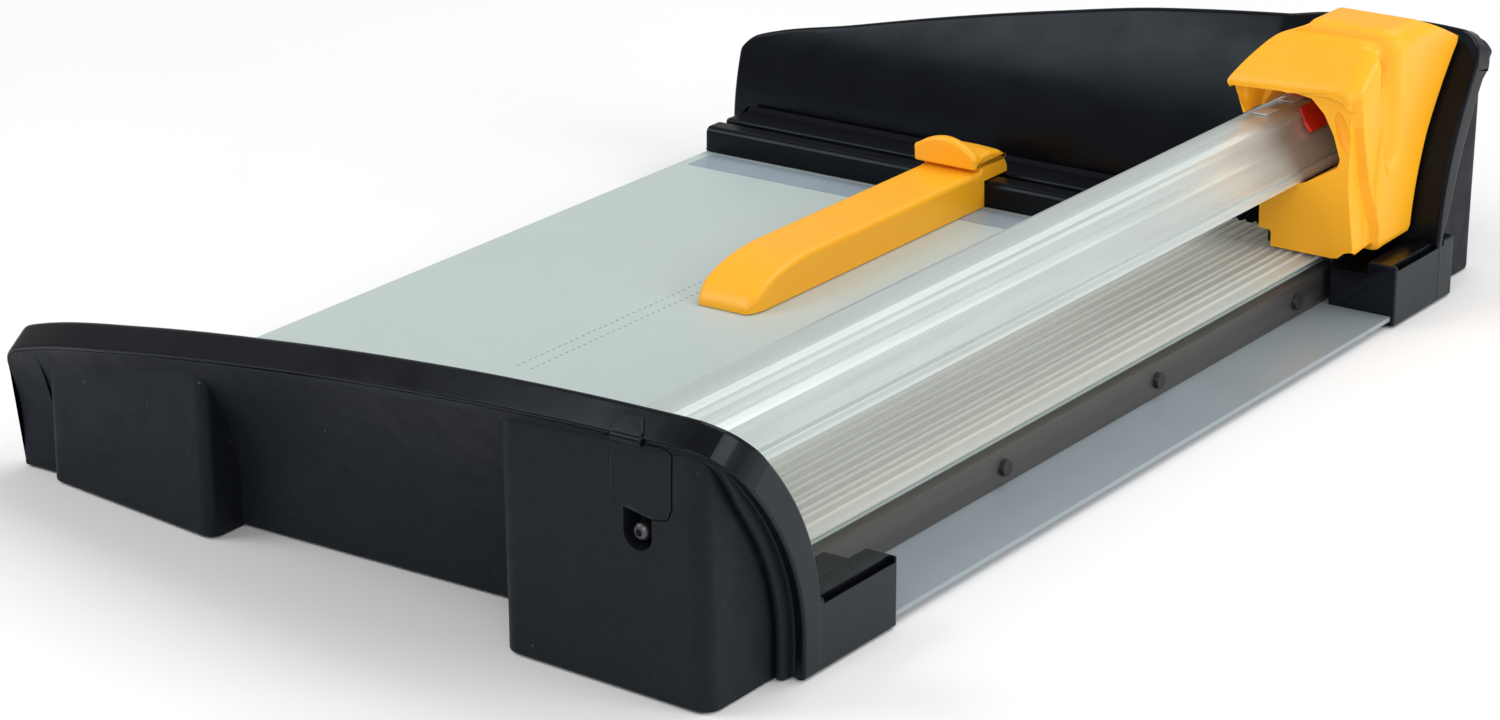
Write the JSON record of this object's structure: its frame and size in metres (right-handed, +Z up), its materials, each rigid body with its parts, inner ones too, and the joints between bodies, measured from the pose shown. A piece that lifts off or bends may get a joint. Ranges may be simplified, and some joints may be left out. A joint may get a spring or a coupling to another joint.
{
  "type": "rotary paper trimmer",
  "caption": "Table paper trimmer with end caps, a guide rail, a sliding rotary cutting head, a clear paper clamp and a sliding side guide.",
  "frame": {"origin": "centre of the footprint box, on the surface the trimmer stands on", "axes": "+Z up, +Y along the cut towards the parked head, +X towards the off-cut side of the knife"},
  "size_m": [0.37, 0.6082, 0.127],
  "materials": {
    "gloss_black": "semi-gloss black moulding",
    "charcoal": "fine-textured charcoal moulding",
    "table_grey": "satin grey-green enamel",
    "base_grey": "smooth blue-grey enamel",
    "steel": "bright machined steel",
    "knife_steel": "dark ground steel",
    "aluminium": "satin anodised extrusion",
    "clear": "clear ribbed acrylic",
    "yellow": "semi-gloss orange-yellow moulding",
    "red": "red moulded slider",
    "rubber": "matt black rubber",
    "white": "pale printed plastic"
  },
  "bodies": {
    "base": {"near_cap_frame": "gloss_black", "near_cap_cover": "charcoal", "far_cap_frame": "gloss_black", "far_cap_cover": "charcoal", "work_table": "table_grey", "ruler_strip": "white", "base_plate": "base_grey", "table_beam_1": "aluminium", "table_beam_2": "aluminium", "table_beam_3": "aluminium", "base_screw_1": "steel", "base_screw_2": "steel", "base_screw_3": "steel", "base_screw_4": "steel", "base_screw_5": "steel", "base_screw_6": "steel", "lower_knife": "knife_steel", "knife_screw_1": "steel", "knife_screw_2": "steel", "knife_screw_3": "steel", "knife_screw_4": "steel", "alignment_ledge": "gloss_black", "guide_rail": "aluminium", "near_rail_plug": "charcoal", "far_rail_plug": "charcoal", "clamp_spring_near": "steel", "clamp_spring_far": "steel", "lock_flap_pin": "steel", "lock_screw": "steel", "rubber_foot_1": "rubber", "rubber_foot_2": "rubber", "rubber_foot_3": "rubber", "rubber_foot_4": "rubber"},
    "head": {"head_front_housing": "yellow", "head_rear_housing": "yellow", "head_sled": "red", "glide_pad_front": "white", "glide_pad_rear": "white", "blade_cartridge": "charcoal", "wheel_axle": "steel", "roller_yoke": "charcoal", "roller_pin_front": "steel", "roller_pin_rear": "steel"},
    "wheel": {"cutting_wheel": "steel"},
    "front_roller": {"press_roller_front": "rubber"},
    "rear_roller": {"press_roller_rear": "rubber"},
    "clamp": {"clamp_strip": "clear"},
    "guide": {"paper_guide": "yellow", "guide_shoe": "charcoal", "guide_lever_pin": "steel"},
    "lever": {"guide_lever": "yellow"},
    "flap": {"lock_flap": "charcoal"}
  },
  "joints": [
    {"name": "head_slide", "type": "slide", "parent": "base", "child": "head", "axis": [0, -1, 0], "range_m": [0, 0.422]},
    {"name": "wheel_spin", "type": "hinge", "parent": "head", "child": "wheel", "pos_m": [0.1504, 0.21553, 0.0352], "axis": [1, 0, 0], "continuous": true},
    {"name": "front_roller_spin", "type": "hinge", "parent": "head", "child": "front_roller", "pos_m": [0.135, 0.20253, 0.0339], "axis": [1, 0, 0], "continuous": true},
    {"name": "rear_roller_spin", "type": "hinge", "parent": "head", "child": "rear_roller", "pos_m": [0.135, 0.22953, 0.0339], "axis": [1, 0, 0], "continuous": true},
    {"name": "clamp_press", "type": "slide", "parent": "base", "child": "clamp", "axis": [0, 0, -1], "range_m": [0, 0.0042], "stiffness_N_per_m": 400, "springref_m": -0.012, "deforming": ["clamp_spring_near", "clamp_spring_far"]},
    {"name": "guide_slide", "type": "slide", "parent": "base", "child": "guide", "axis": [1, 0, 0], "range_m": [-0.12, 0.094]},
    {"name": "lever_press", "type": "hinge", "parent": "guide", "child": "lever", "pos_m": [-0.033, 0.19853, 0.0372], "axis": [1, 0, 0], "range_deg": [0, 8], "stiffness_Nm_per_rad": 0.05, "springref_deg": -11.46},
    {"name": "flap_hinge", "type": "hinge", "parent": "base", "child": "flap", "pos_m": [0.1475, -0.30207, 0.099], "axis": [-1, 0, 0], "range_deg": [0, 75]}
  ],
  "couplings": [
    {"joint": "wheel_spin", "follows": "head_slide", "rad_per_m": 62.5},
    {"joint": "front_roller_spin", "follows": "head_slide", "rad_per_m": 200},
    {"joint": "rear_roller_spin", "follows": "head_slide", "rad_per_m": 200}
  ]
}
